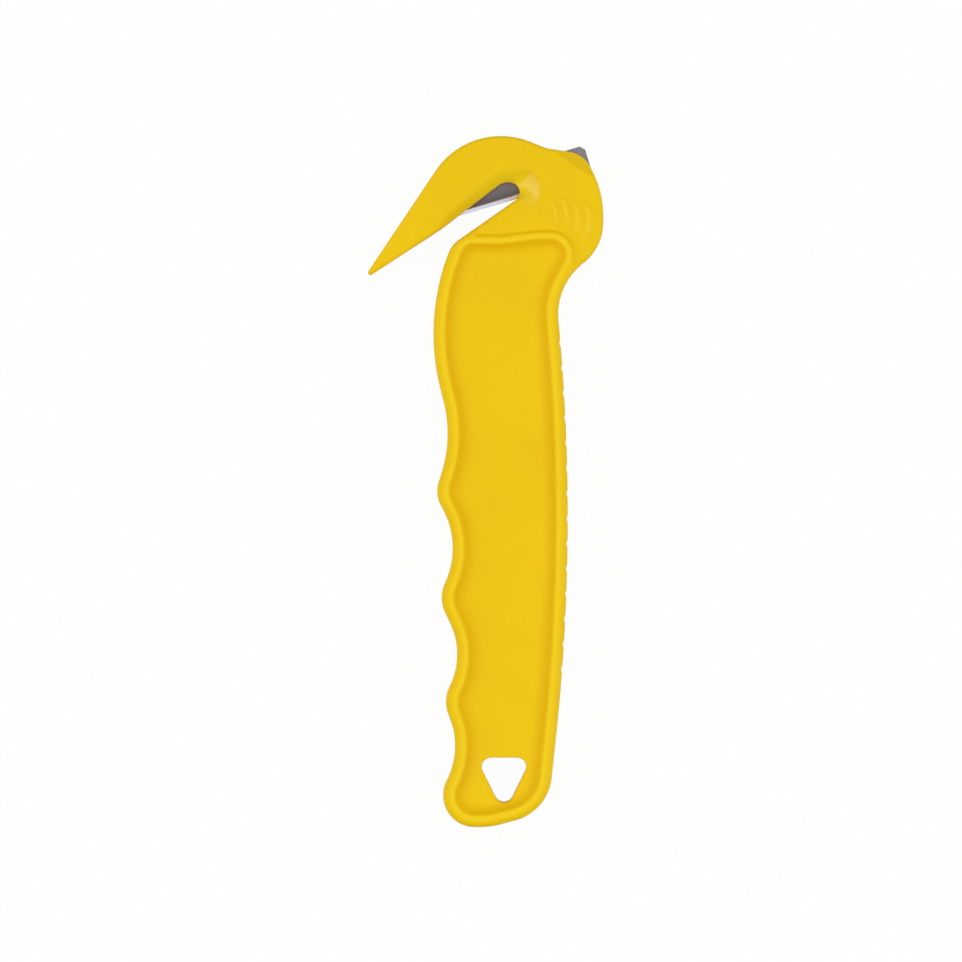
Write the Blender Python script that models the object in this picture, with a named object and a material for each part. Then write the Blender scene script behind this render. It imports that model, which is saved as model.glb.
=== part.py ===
"""Hook cutter with a fixed enclosed blade: two moulded halves clamp one steel strip."""

import math

import bmesh
import bpy
import numpy as np
from mathutils import Vector
from mathutils.geometry import delaunay_2d_cdt

MM = 0.001

# Every length below is in millimetres. Seen from above, +Y runs from the butt to the head
# and +X towards the back edge. The parting plane is z = 0 until the part is set down.

# Plan of the grip: x is measured in from the finger line or the back line, y from the butt
GRIP_LENGTH = 146.9          # butt end to the centre of the throat's end
GRIP_WIDTH = 30.0            # finger line to back line
BUTT_CORNERS = [             # (in from the finger line, up from the butt, radius)
    (-2.97, 0.51, 7.35),
    (12.13, 0.08, 19.7),
    (25.82, 3.78, 11.4),
]
FINGER_CORNERS = [           # crests and grooves, from the head down to the butt
    (3.74, 90.13, 30.4),
    (-0.43, 77.22, 7.0),
    (5.68, 65.62, 19.0),
    (0.42, 52.90, 8.0),
    (6.56, 40.21, 16.85),
    (1.49, 29.33, 7.9),
    (5.95, 17.87, 17.8),
]
SWELL_BELOW_THROAT = 29.3    # the index finger's swell
SWELL_PROUD = 3.17
SWELL_RADIUS = 52.0
BACK_PROUD = 2.78            # the bowed back edge's corner outside the back line
BACK_MIDDLE = 69.1
BACK_RADIUS = 500.0
NOTCH_PITCH = 5.8            # serrations along the back edge
NOTCH_COUNT = 14
NOTCH_WIDTH = 1.8
NOTCH_DEPTH = 0.3
NOTCH_FIRST = 36.7           # lowest notch above the butt

# Plan of the head, about the centre of the throat's end
THROAT_OFFSET = 2.0          # throat centre to the grip's middle line
SLOT_ANGLE = 35.0            # the slot leans this far from +X, degrees
SLOT_WIDTH = 4.5
HOOK_LENGTH = 39.9           # throat centre to the hook's corner, along the slot
HOOK_TIP_LIFT = 0.7
HOOK_TIP_RADIUS = 0.58
BELLY_ALONG = 17.65          # the slight bend in the hook's inner edge
BELLY_RADIUS = 45.0
THROAT_CORNERS = [           # (along the slot, beyond the slot's half width, radius)
    (0.63, 0.80, 3.7),
    (2.85, 0.16, 2.54),
    (1.22, 0.10, 2.63),
]
JAW_LENGTH = 18.0
JAW_RADIUS = 6.8
HEAD_CORNERS = [             # neck, heel, back, splitter boss, dip, crown, crown's front
    (10.44, -21.51, 15.8),
    (21.45, -12.70, 11.6),
    (21.68, -0.47, 22.7),
    (17.15, 8.91, 6.3),
    (8.47, 10.23, 5.8),
    (-0.60, 13.86, 18.8),
    (-13.19, 11.06, 18.4),
]

# Thickness, from the parting plane out
RIM_HALF = 6.0               # crest of the grip's rim
FACE_HALF = 5.4              # flat of the head
WEB_HALF = 4.4               # recessed panel of the grip
HOOK_TIP_HALF = 2.4
TAPER_START = 12.0           # the hook thins from here to its tip, along the slot
PARTING_GAP = 0.3            # between the two halves

# Edge profile: how far in and how deep the outer edges are rounded
SHOULDER_WIDTH = 1.4
SHOULDER_DROP = 1.6
SHOULDER_POWER = 2.0         # 2 rounds the edge, 1 cuts it straight
FUNNEL_POWER = 1.1
ROOM_SHARE = 0.9             # share of a thin place's half width that its edge may take
FUNNEL_WIDTH = 5.2           # the funnel round the throat's end
FUNNEL_HOOK_WIDTH = 2.5      # the same funnel along the hook
FUNNEL_LIP = 1.6             # height left over the blade
FACET_ENDS = ((10.2, 9.6), (19.2, 3.5))  # the slope that bares the splitter, about the throat
FACET_STEEPNESS = 0.95
RING_STEPS = (0.3, 0.65, 1.0)

# Rim of the grip
CREST_IN = 1.95              # crest's middle line, in from the outline
CREST_WIDTH = 1.1
CREST_FALL = 0.75            # width of the slope outside the crest
WALL_RUN = 2.2               # the recess wall's draft
FOOT_FILLET = 1.8
FILLET_SHARE = 0.16          # share of the recess's depth that the foot's fillet takes
BEAD_LEAVES = (-16.5, -21.0)  # where the crest leaves the finger edge and the back edge
BEAD_CORNERS = [             # the rim's bead across the head, about the throat centre
    (16.7, -9.8, 4.4),
    (6.0, -10.1, 14.0),
    (-2.0, -11.1, 14.0),
    (-11.0, -11.0, 3.4),
]

# Thumb ridges on the head
RIDGE_COUNT = 4
RIDGE_PITCH = 2.35
RIDGE_FIRST = 10.8           # first crest, from the throat centre
RIDGE_HEIGHT = 0.3
RIDGE_WIDTH = 1.4
RIDGE_SPAN = 9.0
RIDGE_BELOW = 5.8            # their middle, below the throat centre
RIDGE_BOW = 0.8
RIDGE_POINTS = 7

# Hang hole, a rounded triangle with its point to the butt
HOLE_POINT = 3.15            # its corner above the butt
HOLE_HEIGHT = 13.1
HOLE_WIDTH = 13.0
HOLE_OFFSET = 0.6            # off the grip's middle line
HOLE_RADIUS = 2.2

# Blade: u runs along its cutting edge, v from the edge to the spine
BLADE_START = (-11.25, -5.02)  # where the edge leaves the hook, about the throat centre
BLADE_ANGLE = 16.6
BLADE_BURIED = 4.5
BLADE_REACH = 31.8
BLADE_WIDTH = 7.3
BLADE_THICK = 0.5
BLADE_CHAMFER = 1.05
BEVEL_WIDTH = 0.75
EDGE_THICK = 0.06
BLADE_CLEARANCE = 0.3
POST_RADIUS = 1.0
POST_PLACES = ((0.2, 4.0), (22.0, 3.4))
POST_ENGAGE = 2.0            # how far a post enters the other half
FIT_CLEARANCE = 0.3

# Weld joint: a tongue on the front half in a groove of the rear half
TONGUE_WIDTH = 0.9
TONGUE_HEIGHT = 0.9

# Cores that keep the walls even
CORE_WALL = 1.9
CROWN_CORE = [(-11.0, 4.7), (2.6, 8.6), (2.6, 10.3), (-2.6, 11.1), (-8.5, 9.2)]
HEEL_CORE = [(8.8, -7.2), (17.5, -7.2), (19.2, -3.5), (18.8, 1.6), (8.8, -1.3)]
CORE_RADIUS = 1.0
GRIP_CORE_IN = 2.4           # the grip's core, in from the crest
GRIP_CORE_TOP = -14.0        # its upper end, from the throat centre

ARC_ERROR = 0.035            # how far a chord may stray from its arc
SHARP_ANGLE = math.radians(32)
YELLOW = (0.857, 0.565, 0.011, 1.0)
STEEL = (0.36, 0.34, 0.37, 1.0)


def rounded(corners, closed=True):
    """Points of a polygon whose corners (x, y, radius) are turned into tangent arcs.

    Where two arcs want more than the side between them, they share it in proportion.
    """
    count = len(corners)
    places = [Vector(corner[:2]) for corner in corners]
    halves, wanted = [], []
    for i, (_, _, radius) in enumerate(corners):
        before = places[i - 1] - places[i]
        after = places[(i + 1) % count] - places[i]
        halves.append(max(before.angle(after) / 2, 1e-3))
        wanted.append(radius / math.tan(halves[i]))
    points = []
    for i, here in enumerate(places):
        before = places[i - 1] - here
        after = places[(i + 1) % count] - here
        if not closed and i in (0, count - 1):
            points.append(here)
            continue
        share = min(1.0, before.length / max(wanted[i] + wanted[i - 1], 1e-9),
                    after.length / max(wanted[i] + wanted[(i + 1) % count], 1e-9))
        radius = wanted[i] * share * math.tan(halves[i])
        middle = here + (before.normalized() + after.normalized()).normalized() * (
            radius / math.sin(halves[i]))
        start = here + before.normalized() * wanted[i] * share - middle
        end = here + after.normalized() * wanted[i] * share - middle
        turn = math.atan2(start.x * end.y - start.y * end.x, start.dot(end))
        chord = 2 * math.acos(1 - min(ARC_ERROR / radius, 1.0))
        steps = max(2, math.ceil(abs(turn) / chord))
        heading = math.atan2(start.y, start.x)
        for k in range(steps + 1):
            angle = heading + turn * k / steps
            points.append(middle + radius * Vector((math.cos(angle), math.sin(angle))))
    return without_repeats(points)


def without_repeats(points):
    """Drop points that all but coincide with the one before."""
    kept = []
    for point in points:
        if not kept or (point - kept[-1]).length > ARC_ERROR:
            kept.append(point)
    return kept


def throat_centre():
    return Vector((THROAT_OFFSET, GRIP_LENGTH))


def from_slot(along, across):
    """A place given along and across the slot, about the throat's centre."""
    lean = math.radians(SLOT_ANGLE)
    ahead = Vector((math.cos(lean), math.sin(lean)))
    return throat_centre() + along * ahead + across * Vector((-ahead.y, ahead.x))


def outline_corners():
    """Corners of the whole plan, counter-clockwise from the hook's tip."""
    half = SLOT_WIDTH / 2
    finger = -GRIP_WIDTH / 2
    centre = throat_centre()
    top, back, bottom = THROAT_CORNERS
    corners = [
        (*from_slot(-HOOK_LENGTH, half + HOOK_TIP_LIFT), HOOK_TIP_RADIUS),
        (*from_slot(-BELLY_ALONG, half), BELLY_RADIUS),
        (*from_slot(top[0], half + top[1]), top[2]),
        (*from_slot(*back[:2]), back[2]),
        (*from_slot(bottom[0], -half + bottom[1]), bottom[2]),
        (*from_slot(-JAW_LENGTH, -half + bottom[1]), JAW_RADIUS),
        (finger - SWELL_PROUD, GRIP_LENGTH - SWELL_BELOW_THROAT, SWELL_RADIUS),
    ]
    corners += [(finger + inset, up, radius) for inset, up, radius in FINGER_CORNERS]
    corners += [(finger + inset, up, radius) for inset, up, radius in BUTT_CORNERS]
    corners.append((-finger + BACK_PROUD, BACK_MIDDLE, BACK_RADIUS))
    corners += [(centre.x + x, centre.y + y, radius) for x, y, radius in HEAD_CORNERS]
    return corners


def with_notches(points):
    """Set the serrations into the back edge."""
    for i in range(NOTCH_COUNT):
        middle = NOTCH_FIRST + i * NOTCH_PITCH
        low, high = middle - NOTCH_WIDTH / 2, middle + NOTCH_WIDTH / 2
        below = [k for k, p in enumerate(points) if p.x > 0 and p.y < low - NOTCH_DEPTH]
        above = [k for k in range(below[-1], len(points)) if points[k].y > high + NOTCH_DEPTH]
        first, last = points[below[-1]], points[above[0]]
        notch = []
        for up, depth in ((low, 0.0), (middle, NOTCH_DEPTH), (high, 0.0)):
            place = first.lerp(last, (up - first.y) / (last.y - first.y))
            notch.append(place - Vector((depth, 0.0)))
        points = points[:below[-1] + 1] + notch + points[above[0]:]
    return points


def as_array(points):
    return np.array([(p[0], p[1]) for p in points])


def inward(loop):
    """Unit normals of a counter-clockwise loop, pointing inside."""
    ahead = np.roll(loop, -1, axis=0) - np.roll(loop, 1, axis=0)
    ahead /= np.linalg.norm(ahead, axis=1)[:, None]
    return np.stack((-ahead[:, 1], ahead[:, 0]), axis=1)


def room(loop):
    """Radius of the largest circle inside the loop that touches it at each point."""
    normals = inward(loop)
    reach = loop[None, :, :] - loop[:, None, :]
    ahead = (reach * normals[:, None, :]).sum(axis=2)
    square = (reach ** 2).sum(axis=2)
    radius = np.where(ahead > 1e-6, square / np.maximum(2 * ahead, 1e-6), np.inf)
    return radius.min(axis=1)


def nearest(places, loop, closed=True):
    """Distance from each place to a line of points, with the segment and the share along it."""
    start = loop if closed else loop[:-1]
    end = np.roll(loop, -1, axis=0) if closed else loop[1:]
    run = end - start
    away = places[:, None, :] - start[None, :, :]
    share = (away * run).sum(axis=2) / np.maximum((run ** 2).sum(axis=1), 1e-12)
    share = np.clip(share, 0.0, 1.0)
    gap = np.linalg.norm(away - share[:, :, None] * run, axis=2)
    segment = gap.argmin(axis=1)
    row = np.arange(len(places))
    return gap[row, segment], segment, share[row, segment]


def is_inside(places, loop):
    """Whether each place lies inside the loop, by counting crossings."""
    start, end = loop, np.roll(loop, -1, axis=0)
    y = places[:, 1][:, None]
    straddles = (start[:, 1] > y) != (end[:, 1] > y)
    rise = np.where(end[:, 1] == start[:, 1], 1e-12, end[:, 1] - start[:, 1])
    cross = start[:, 0] + (y - start[:, 1]) / rise * (end[:, 0] - start[:, 0])
    return (straddles & (places[:, 0][:, None] < cross)).sum(axis=1) % 2 == 1


def ramp(value, start, end):
    return np.clip((value - start) / (end - start), 0.0, 1.0)


def slot_frame(places):
    lean = math.radians(SLOT_ANGLE)
    away = places - np.array(throat_centre())
    along = away[:, 0] * math.cos(lean) + away[:, 1] * math.sin(lean)
    across = away[:, 1] * math.cos(lean) - away[:, 0] * math.sin(lean)
    return along, across


class Plan:
    """The outline, the rim's crest line and the edge profile at each outline point."""

    def __init__(self):
        smooth = rounded(outline_corners())
        self.crest = self.crest_line(as_array(smooth))
        self.outline = as_array(with_notches(smooth))
        self.room = room(self.outline)
        along, across = slot_frame(self.outline)
        above = np.clip(across / (SLOT_WIDTH / 2), -1.0, 1.0)
        in_slot = (along < SLOT_WIDTH) & (np.abs(across) < SLOT_WIDTH)
        hook_side = in_slot & ((above > 0) | (along > 0))
        mouth = ramp(along, -BELLY_ALONG - FUNNEL_WIDTH * 2, -BELLY_ALONG)
        end = ramp(along, -FUNNEL_WIDTH * 2, 0.0) * ramp(above, -1.0, 0.5)
        self.funnel = np.where(hook_side, mouth * ramp(above, -1.0, 0.0), 0.0)
        width = FUNNEL_HOOK_WIDTH + (FUNNEL_WIDTH - FUNNEL_HOOK_WIDTH) * end
        self.width = SHOULDER_WIDTH + (width - SHOULDER_WIDTH) * self.funnel
        self.width = np.minimum(self.width, ROOM_SHARE * self.room)
        deep = FACE_HALF - FUNNEL_LIP
        self.drop = SHOULDER_DROP + (deep - SHOULDER_DROP) * self.funnel
        self.power = SHOULDER_POWER + (FUNNEL_POWER - SHOULDER_POWER) * self.funnel

    def ring(self, share):
        return self.outline + inward(self.outline) * (self.width * share)[:, None]

    def crest_line(self, outline):
        """The rim's crest: along the grip inside the outline, and across the head as a bead."""
        centre = throat_centre()
        inner = outline + inward(outline) * CREST_IN
        along, across = slot_frame(outline)
        by_slot = (np.abs(across) < SLOT_WIDTH) & (along < SLOT_WIDTH)
        throat = int(np.where(by_slot, along, -HOOK_LENGTH).argmax())
        finger_leave, back_leave = (leave + centre.y for leave in BEAD_LEAVES)
        side = outline[:, 0] < 0
        low = outline[:, 1] < np.where(side, finger_leave, back_leave)
        path = [tuple(inner[k]) for k in range(throat, len(outline)) if low[k]]
        bead = [(centre.x + x, centre.y + y, r) for x, y, r in BEAD_CORNERS]
        corners = [(*path[-1], 0.0)] + bead + [(*path[0], 0.0)]
        return as_array(path + rounded(corners, closed=False)[1:-1])


def crest_ring(plan, offset):
    """The crest line moved in (or, below zero, out)."""
    return plan.crest + inward(plan.crest) * offset


def ridge_rise(places):
    """Height of the thumb ridges over the head's face."""
    x, y = (places - np.array(throat_centre())).T
    run = (y + RIDGE_BELOW) / (RIDGE_SPAN / 2)
    turn = (x + RIDGE_BOW * run ** 2 - RIDGE_FIRST) / RIDGE_PITCH
    order = np.clip(np.round(turn), 0, RIDGE_COUNT - 1)
    off = np.abs(turn - order) * RIDGE_PITCH / (RIDGE_WIDTH / 2)
    return RIDGE_HEIGHT * np.clip(1 - off, 0, 1) * np.clip(1 - run ** 2, 0, 1)


def facet_depth(places):
    """How far each place lies beyond the line where the splitter's facet starts."""
    start, end = (np.array(p) + np.array(throat_centre()) for p in FACET_ENDS)
    chord = (end - start) / np.linalg.norm(end - start)
    away = places - start
    beyond = away[:, 1] * chord[0] - away[:, 0] * chord[1]
    return np.where(away @ chord > -2 * SHOULDER_WIDTH, beyond, 0.0)


def height(plan, places):
    """Height of the outer surface over the parting plane at each place."""
    gap, segment, share = nearest(places, plan.outline)
    following = (segment + 1) % len(plan.outline)

    def blend(values):
        return values[segment] * (1 - share) + values[following] * share

    along, across = slot_frame(places)
    thin = ramp(-along, TAPER_START, HOOK_LENGTH) * ramp(across, 0.0, SLOT_WIDTH / 4)
    face = FACE_HALF - (FACE_HALF - HOOK_TIP_HALF) * thin
    edge_gap, _, _ = nearest(places, plan.crest)
    into = np.where(is_inside(places, plan.crest), edge_gap, -edge_gap)
    bead = ramp(into, -CREST_WIDTH / 2 - CREST_FALL, -CREST_WIDTH / 2)
    top = np.maximum(face + ridge_rise(places), face + (RIM_HALF - face) * bead)
    drop = blend(plan.drop) * face / FACE_HALF
    z = top - drop * (1 - np.minimum(gap / blend(plan.width), 1.0)) ** blend(plan.power)
    foot = CREST_WIDTH / 2 + WALL_RUN
    depth = RIM_HALF - WEB_HALF
    wall = RIM_HALF - (1 - FILLET_SHARE) * depth * ramp(into, CREST_WIDTH / 2, foot)
    wall = wall - FILLET_SHARE * depth * ramp(into, foot, foot + FOOT_FILLET)
    z = np.where(into > CREST_WIDTH / 2, np.minimum(z, wall), z)
    beyond = facet_depth(places)
    return np.where(beyond > 0, np.minimum(z, FACE_HALF - FACET_STEEPNESS * beyond), z)


def feature_lines(plan):
    """Lines that the outer surface bends along, as (points, closed)."""
    lines = [(plan.outline, True)]
    lines += [(plan.ring(share), True) for share in RING_STEPS]
    foot = CREST_WIDTH / 2 + WALL_RUN
    lines += [(crest_ring(plan, into), True)
              for into in (CREST_WIDTH / 2, foot, foot + FOOT_FILLET)]
    for out in (CREST_WIDTH / 2, CREST_WIDTH / 2 + CREST_FALL):
        bead = crest_ring(plan, -out)
        clear = nearest(bead, plan.outline)[0] > SHOULDER_WIDTH + ARC_ERROR
        clear &= is_inside(bead, plan.outline)
        first = int(clear.argmin())     # start where the bead isn't clear, to keep one run
        bead, clear = np.roll(bead, -first, axis=0), np.roll(clear, -first)
        lines.append((bead[clear], False))
    centre = np.array(throat_centre())
    lines.append((np.array(FACET_ENDS) + centre, False))
    half = SLOT_WIDTH / 2
    lines.append((as_array([from_slot(-TAPER_START, half + FUNNEL_HOOK_WIDTH),
                            from_slot(-TAPER_START, half + 2 * FUNNEL_WIDTH)]), False))
    run = np.linspace(-1.0, 1.0, RIDGE_POINTS)
    for order in range(RIDGE_COUNT):
        for off in (-RIDGE_WIDTH / 2, 0.0, RIDGE_WIDTH / 2):
            x = RIDGE_FIRST + order * RIDGE_PITCH + off - RIDGE_BOW * run ** 2
            y = run * RIDGE_SPAN / 2 - RIDGE_BELOW
            line = np.stack((x, y), axis=1) + centre
            lines.append((line[nearest(line, plan.outline)[0] > SHOULDER_WIDTH], False))
    return lines


def new_object(name, bm, material=None):
    """Turn a bmesh in millimetres into an object in metres."""
    bmesh.ops.recalc_face_normals(bm, faces=bm.faces)
    bmesh.ops.scale(bm, vec=(MM, MM, MM), verts=bm.verts)
    mesh = bpy.data.meshes.new(name)
    bm.to_mesh(mesh)
    bm.free()
    mesh.shade_smooth()
    mesh.set_sharp_from_angle(angle=SHARP_ANGLE)
    obj = bpy.data.objects.new(name, mesh)
    bpy.context.collection.objects.link(obj)
    if material:
        mesh.materials.append(material)
    return obj


def half_body(name, plan, side, material):
    """One moulded half: its outer surface over a flat mating face."""
    points, edges = [], []
    for line, closed in feature_lines(plan):
        first = len(points)
        points += [Vector(p) for p in line]
        count = len(line)
        edges += [(first + i, first + (i + 1) % count) for i in range(count - (not closed))]
    flat, _, faces, *_ = delaunay_2d_cdt(points, edges, [], 1, MM)
    z = height(plan, as_array(flat))
    bm = bmesh.new()
    verts = [bm.verts.new((p.x, p.y, h * side)) for p, h in zip(flat, z)]
    for face in faces:
        bm.faces.new([verts[i] for i in face])
    loose = [v for v in bm.verts if not v.link_faces]
    bmesh.ops.delete(bm, geom=loose, context="VERTS")
    rim = [e for e in bm.edges if e.is_boundary]
    skirt = bmesh.ops.extrude_edge_only(bm, edges=rim)["geom"]
    for v in (g for g in skirt if isinstance(g, bmesh.types.BMVert)):
        v.co.z = side * PARTING_GAP / 2
    lower = [e for e in bm.edges if e.is_boundary]
    bmesh.ops.contextual_create(bm, geom=lower)
    bmesh.ops.triangulate(bm, faces=[f for f in bm.faces if len(f.verts) > 3])
    return new_object(name, bm, material)


def add_prism(bm, loop, low, high):
    """A straight prism over a plan loop."""
    bottom = [bm.verts.new((p[0], p[1], low)) for p in loop]
    top = [bm.verts.new((p[0], p[1], high)) for p in loop]
    bm.faces.new(bottom)
    bm.faces.new(top)
    for i in range(len(loop)):
        j = (i + 1) % len(loop)
        bm.faces.new((bottom[i], bottom[j], top[j], top[i]))


def add_band(bm, inner, outer, low, high):
    """A closed ring with a rectangular section between two plan loops."""
    loops = [[bm.verts.new((p[0], p[1], z)) for p in loop]
             for loop, z in ((inner, low), (outer, low), (outer, high), (inner, high))]
    for a, b in zip(loops, loops[1:] + loops[:1]):
        for i in range(len(a)):
            j = (i + 1) % len(a)
            bm.faces.new((a[i], a[j], b[j], b[i]))


def circle(centre, radius):
    chord = 2 * math.acos(1 - ARC_ERROR / radius)
    count = 4 * math.ceil(math.tau / chord / 4)
    return [Vector(centre) + radius * Vector((math.cos(math.tau * i / count),
                                              math.sin(math.tau * i / count)))
            for i in range(count)]


def on_blade(u, v):
    """A place along the blade's edge and across to its spine."""
    lean = math.radians(BLADE_ANGLE)
    ahead = Vector((math.cos(lean), math.sin(lean)))
    return (throat_centre() + Vector(BLADE_START) + u * ahead
            + v * Vector((-ahead.y, ahead.x)))


def blade_pocket():
    clear = BLADE_CLEARANCE
    past = BLADE_REACH + 2 * BLADE_WIDTH
    return [on_blade(u, v) for u, v in (
        (-BLADE_BURIED - clear, -clear), (past, -clear),
        (past, BLADE_WIDTH + clear), (-BLADE_BURIED - clear, BLADE_WIDTH + clear))]


def hang_hole():
    x = HOLE_OFFSET
    top = HOLE_POINT + HOLE_HEIGHT
    return rounded([(x, HOLE_POINT, HOLE_RADIUS), (x + HOLE_WIDTH / 2, top, HOLE_RADIUS),
                    (x - HOLE_WIDTH / 2, top, HOLE_RADIUS)])


def core(corners):
    centre = throat_centre()
    return rounded([(centre.x + x, centre.y + y, CORE_RADIUS) for x, y in corners])


def grip_core(plan):
    """The crest line moved in, cut off below the bead and above the hang hole's wall."""
    ring = crest_ring(plan, GRIP_CORE_IN)[::2]
    low = HOLE_POINT + HOLE_HEIGHT + CORE_WALL
    high = throat_centre().y + GRIP_CORE_TOP
    return ring[(ring[:, 1] > low) & (ring[:, 1] < high)]


def add_blade_cuts(bm, plan, side):
    """Pocket, cores and hang hole, the same in both halves."""
    span = sorted((-side * PARTING_GAP / 2, side * (BLADE_THICK / 2 + BLADE_CLEARANCE)))
    add_prism(bm, blade_pocket(), *span)
    ceiling = FACE_HALF - CORE_WALL
    for corners in (CROWN_CORE, HEEL_CORE):
        add_prism(bm, core(corners), *sorted((0.0, side * ceiling)))
    add_prism(bm, grip_core(plan), *sorted((0.0, side * (WEB_HALF - CORE_WALL))))
    add_prism(bm, hang_hole(), *sorted((0.0, side * RIM_HALF)))


def modify(target, operation, bm, name):
    """Add to the target, or cut from it, with a Boolean that stays on it."""
    tool = new_object(name, bm)
    tool.hide_render = True
    tool.display_type = "WIRE"
    boolean = target.modifiers.new(name, "BOOLEAN")
    boolean.operation = operation
    boolean.solver = "EXACT"
    boolean.object = tool
    return tool


def tongue_loops(plan, width):
    """Inner and outer edges of the weld joint, along the crest with every other point."""
    return crest_ring(plan, width / 2)[::2], crest_ring(plan, -width / 2)[::2]


def front_half(plan, material):
    """The half with the tongue and the two posts that hold the blade."""
    half = half_body("front_half", plan, 1, material)
    cuts = bmesh.new()
    add_blade_cuts(cuts, plan, 1)
    tools = [modify(half, "DIFFERENCE", cuts, "front_half_cuts")]
    adds = bmesh.new()
    pocket_floor = BLADE_THICK / 2 + BLADE_CLEARANCE
    for place in POST_PLACES:
        add_prism(adds, circle(on_blade(*place), POST_RADIUS),
                  -POST_ENGAGE, pocket_floor + POST_RADIUS / 2)
    inner, outer = tongue_loops(plan, TONGUE_WIDTH)
    add_band(adds, inner, outer, -PARTING_GAP / 2 - TONGUE_HEIGHT, PARTING_GAP)
    tools.append(modify(half, "UNION", adds, "front_half_tongue_and_posts"))
    return half, tools


def rear_half(plan, material):
    """The half with the groove and the sockets that take the posts."""
    half = half_body("rear_half", plan, -1, material)
    cuts = bmesh.new()
    add_blade_cuts(cuts, plan, -1)
    inner, outer = tongue_loops(plan, TONGUE_WIDTH + 2 * FIT_CLEARANCE)
    add_band(cuts, inner, outer, -PARTING_GAP / 2 - TONGUE_HEIGHT - FIT_CLEARANCE, 0.0)
    sockets = bmesh.new()
    for place in POST_PLACES:
        add_prism(sockets, circle(on_blade(*place), POST_RADIUS + FIT_CLEARANCE),
                  -POST_ENGAGE - FIT_CLEARANCE, 0.0)
    return half, [modify(half, "DIFFERENCE", cuts, "rear_half_cuts"),
                  modify(half, "DIFFERENCE", sockets, "rear_half_sockets")]


def blade(material):
    """The steel strip: ground along its edge, its far corner bared as the tape splitter."""
    start, end = -BLADE_BURIED, BLADE_REACH
    thick, thin = BLADE_THICK / 2, EDGE_THICK / 2
    flat = [(start, BEVEL_WIDTH), (end, BEVEL_WIDTH), (end, BLADE_WIDTH - BLADE_CHAMFER),
            (end - BLADE_CHAMFER, BLADE_WIDTH), (start, BLADE_WIDTH)]
    edge = [(start, 0.0), (end, 0.0)]
    bm = bmesh.new()
    top, bottom = ([bm.verts.new((*on_blade(*p), z)) for p in flat] for z in (thick, -thick))
    edge_top, edge_bottom = ([bm.verts.new((*on_blade(*p), z)) for p in edge]
                             for z in (thin, -thin))
    bm.faces.new(top)
    bm.faces.new(bottom)
    bm.faces.new((edge_top[0], edge_top[1], top[1], top[0]))
    bm.faces.new((edge_bottom[0], edge_bottom[1], bottom[1], bottom[0]))
    bm.faces.new((edge_top[0], edge_bottom[0], edge_bottom[1], edge_top[1]))
    bm.faces.new((top[0], top[4], bottom[4], bottom[0], edge_bottom[0], edge_top[0]))
    bm.faces.new((top[1], top[2], bottom[2], bottom[1], edge_bottom[1], edge_top[1]))
    bm.faces.new((top[2], top[3], bottom[3], bottom[2]))
    bm.faces.new((top[3], top[4], bottom[4], bottom[3]))
    strip = new_object("blade", bm, material)
    holes = bmesh.new()
    for place in POST_PLACES:
        add_prism(holes, circle(on_blade(*place), POST_RADIUS + FIT_CLEARANCE),
                  -BLADE_WIDTH, BLADE_WIDTH)
    return strip, [modify(strip, "DIFFERENCE", holes, "blade_holes")]


def material(name, colour, roughness, metallic):
    finish = bpy.data.materials.new(name)
    finish.use_nodes = True
    shader = finish.node_tree.nodes["Principled BSDF"]
    shader.inputs["Base Color"].default_value = colour
    shader.inputs["Roughness"].default_value = roughness
    shader.inputs["Metallic"].default_value = metallic
    return finish


def set_down(objects, plan):
    """Lay the part on its rear face, centred over the origin."""
    tip = on_blade(BLADE_REACH, BLADE_WIDTH - BLADE_CHAMFER)
    ends = np.vstack((plan.outline, tip))
    middle = (ends.min(axis=0) + ends.max(axis=0)) / 2
    for obj in objects:
        obj.location = (-middle[0] * MM, -middle[1] * MM, RIM_HALF * MM)


def main():
    for obj in list(bpy.data.objects):
        bpy.data.objects.remove(obj)
    yellow = material("yellow_abs", YELLOW, 0.42, 0.0)
    steel = material("blade_steel", STEEL, 0.32, 1.0)
    plan = Plan()
    for piece, tools in (front_half(plan, yellow), rear_half(plan, yellow), blade(steel)):
        set_down([piece, *tools], plan)


main()
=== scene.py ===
import math

import bpy
import numpy as np
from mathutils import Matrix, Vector


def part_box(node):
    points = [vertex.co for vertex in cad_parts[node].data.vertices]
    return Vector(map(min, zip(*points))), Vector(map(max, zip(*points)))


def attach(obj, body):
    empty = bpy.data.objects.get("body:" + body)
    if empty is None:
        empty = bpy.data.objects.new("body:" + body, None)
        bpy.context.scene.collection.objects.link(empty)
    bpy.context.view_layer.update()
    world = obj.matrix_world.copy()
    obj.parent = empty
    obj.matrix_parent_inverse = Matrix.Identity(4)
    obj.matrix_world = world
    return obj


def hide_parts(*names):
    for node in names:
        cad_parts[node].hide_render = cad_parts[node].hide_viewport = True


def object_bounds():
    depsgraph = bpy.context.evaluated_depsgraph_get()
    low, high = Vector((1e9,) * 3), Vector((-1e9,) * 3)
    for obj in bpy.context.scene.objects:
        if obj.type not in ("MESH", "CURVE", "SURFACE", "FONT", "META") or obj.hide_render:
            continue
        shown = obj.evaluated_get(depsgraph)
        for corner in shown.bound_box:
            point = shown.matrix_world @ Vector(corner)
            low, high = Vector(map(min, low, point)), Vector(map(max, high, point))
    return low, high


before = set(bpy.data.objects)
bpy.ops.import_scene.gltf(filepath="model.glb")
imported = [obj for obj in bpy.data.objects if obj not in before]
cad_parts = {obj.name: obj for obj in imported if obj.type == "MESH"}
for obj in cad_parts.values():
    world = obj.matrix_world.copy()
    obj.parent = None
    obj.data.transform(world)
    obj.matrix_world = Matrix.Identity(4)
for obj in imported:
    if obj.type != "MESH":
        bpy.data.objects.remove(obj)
cadLow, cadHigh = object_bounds()
mm = 0.001
print("frame loaded")

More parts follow.
